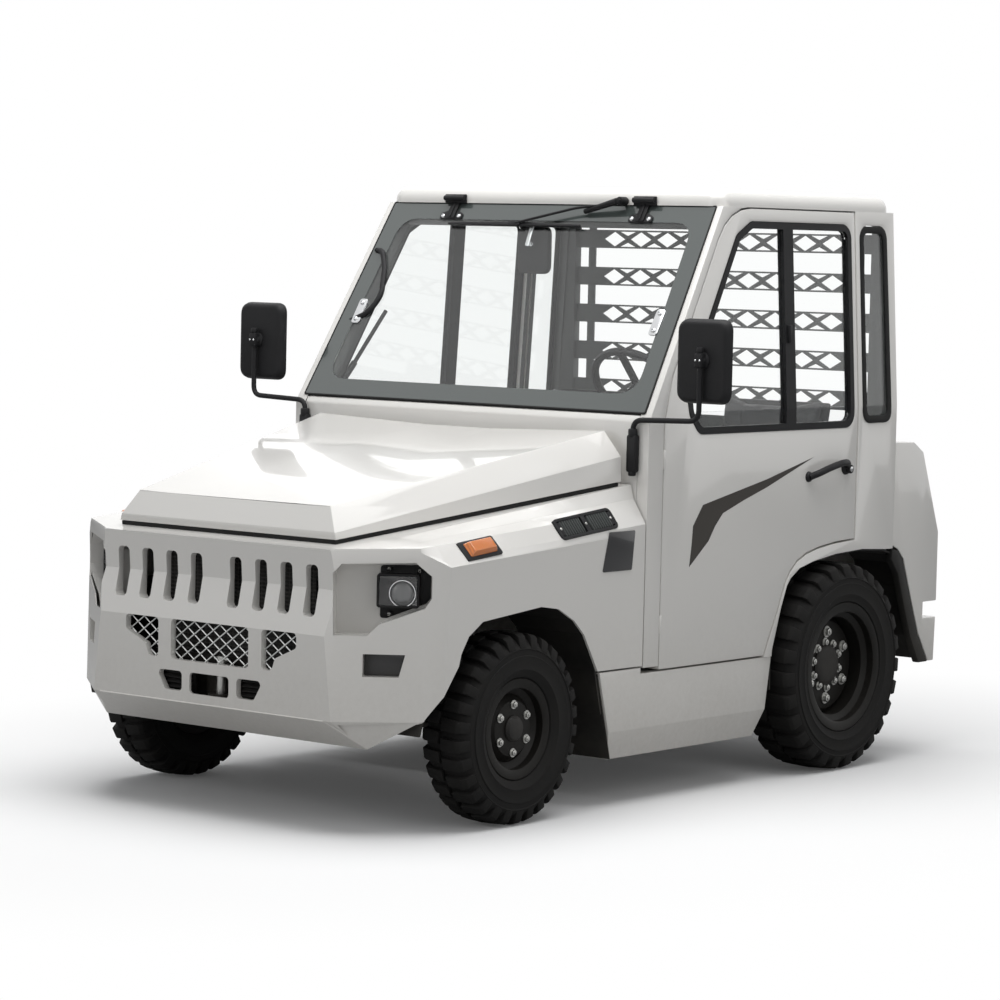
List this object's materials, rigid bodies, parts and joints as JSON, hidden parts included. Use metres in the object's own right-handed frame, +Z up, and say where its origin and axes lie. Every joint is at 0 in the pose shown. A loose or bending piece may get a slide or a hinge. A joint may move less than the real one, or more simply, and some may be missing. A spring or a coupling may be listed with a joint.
{
  "type": "airport baggage tug",
  "caption": "Cabbed airport baggage tug with steered front wheels, opening doors and bonnet, seats and tow hitches at both ends.",
  "frame": {"origin": "centre of the bounding box on the ground, between the wheels", "axes": "-Y forward, +Y rear, +X the vehicle's left, +Z up"},
  "size_m": [2.062, 3.022, 1.9338],
  "materials": {
    "body_paint": "gloss off-white paint",
    "black_steel": "satin black paint",
    "engine_iron": "grey casting",
    "tyre_rubber": "black industrial tyre",
    "rim_paint": "gloss black paint",
    "clear_glass": "clear safety glass",
    "black_rubber": "black rubber",
    "black_plastic": "grained black plastic",
    "amber_lens": "amber lens",
    "red_lens": "red lens",
    "bright_steel": "bright plated steel",
    "seat_vinyl": "black vinyl"
  },
  "bodies": {
    "chassis": {"bonnet_seal": "black_rubber", "cab_floor": "black_steel", "cab_frame": "body_paint", "chassis_frame": "black_steel", "cowl": "body_paint", "cross_members": "black_steel", "dashboard": "black_plastic", "engine_block": "engine_iron", "front_axle": "black_steel", "front_body": "body_paint", "front_hitch": "black_steel", "front_liners": "black_rubber", "grille_mesh": "black_plastic", "headlamps": "black_plastic", "indicators": "amber_lens", "leaf_springs": "black_steel", "mirrors": "black_plastic", "quarter_windows": "clear_glass", "radiator": "black_steel", "rear_axle": "black_steel", "rear_body": "body_paint", "rear_guard": "black_steel", "rear_hitch": "black_steel", "rear_lamps": "red_lens", "rear_liners": "black_rubber", "roof": "body_paint", "screen_brackets": "bright_steel", "seat_bases": "black_steel", "seats": "seat_vinyl", "side_vents": "black_plastic", "sills": "body_paint", "steering_column": "black_plastic", "windscreen": "clear_glass", "windscreen_hinges": "black_plastic", "wiper": "black_plastic"},
    "left_knuckle": {"knuckle_left": "black_steel"},
    "right_knuckle": {"knuckle_right": "black_steel"},
    "tie_rod": {"tie_rod": "black_steel"},
    "front_wheel_left": {"front_rim_left": "rim_paint", "front_tyre_left": "tyre_rubber"},
    "front_wheel_right": {"front_rim_right": "rim_paint", "front_tyre_right": "tyre_rubber"},
    "rear_wheel_left": {"rear_rim_left": "rim_paint", "rear_tyre_left": "tyre_rubber"},
    "rear_wheel_right": {"rear_rim_right": "rim_paint", "rear_tyre_right": "tyre_rubber"},
    "left_door": {"door_left": "body_paint", "door_trim_left": "rim_paint", "door_glass_left": "clear_glass"},
    "right_door": {"door_right": "body_paint", "door_trim_right": "rim_paint", "door_glass_right": "clear_glass"},
    "bonnet": {"bonnet": "body_paint"},
    "steering_wheel": {"steering_wheel": "black_plastic"}
  },
  "joints": [
    {"name": "steer_left", "type": "hinge", "parent": "chassis", "child": "left_knuckle", "pos_m": [0.508, -0.931, 0.292], "axis": [0, 0, 1], "range_deg": [-35, 35]},
    {"name": "steer_right", "type": "hinge", "parent": "chassis", "child": "right_knuckle", "pos_m": [-0.508, -0.931, 0.292], "axis": [0, 0, 1], "range_deg": [-35, 35]},
    {"name": "tie_rod_pivot", "type": "hinge", "parent": "left_knuckle", "child": "tie_rod", "pos_m": [0.508, -0.781, 0.292], "axis": [0, 0, 1], "range_deg": [-35, 35]},
    {"name": "front_wheel_left_spin", "type": "hinge", "parent": "left_knuckle", "child": "front_wheel_left", "pos_m": [0.664, -0.931, 0.292], "axis": [1, 0, 0], "continuous": true},
    {"name": "front_wheel_right_spin", "type": "hinge", "parent": "right_knuckle", "child": "front_wheel_right", "pos_m": [-0.664, -0.931, 0.292], "axis": [1, 0, 0], "continuous": true},
    {"name": "rear_wheel_left_spin", "type": "hinge", "parent": "chassis", "child": "rear_wheel_left", "pos_m": [0.681, 0.769, 0.35], "axis": [1, 0, 0], "continuous": true},
    {"name": "rear_wheel_right_spin", "type": "hinge", "parent": "chassis", "child": "rear_wheel_right", "pos_m": [-0.681, 0.769, 0.35], "axis": [1, 0, 0], "continuous": true},
    {"name": "door_left_hinge", "type": "hinge", "parent": "chassis", "child": "left_door", "pos_m": [0.741, -0.243, 1], "axis": [0, 0, -1], "range_deg": [0, 75]},
    {"name": "door_right_hinge", "type": "hinge", "parent": "chassis", "child": "right_door", "pos_m": [-0.741, -0.243, 1], "axis": [0, 0, 1], "range_deg": [0, 75]},
    {"name": "bonnet_hinge", "type": "hinge", "parent": "chassis", "child": "bonnet", "pos_m": [0, -0.349, 1.14], "axis": [-1, 0, 0], "range_deg": [0, 55]},
    {"name": "steering_wheel_turn", "type": "hinge", "parent": "chassis", "child": "steering_wheel", "pos_m": [0.38, 0.119, 1.275], "axis": [0, 0.7431, 0.6691], "continuous": true}
  ],
  "couplings": [
    {"joint": "steer_right", "follows": "steer_left", "ratio": 1},
    {"joint": "tie_rod_pivot", "follows": "steer_left", "ratio": -1}
  ]
}
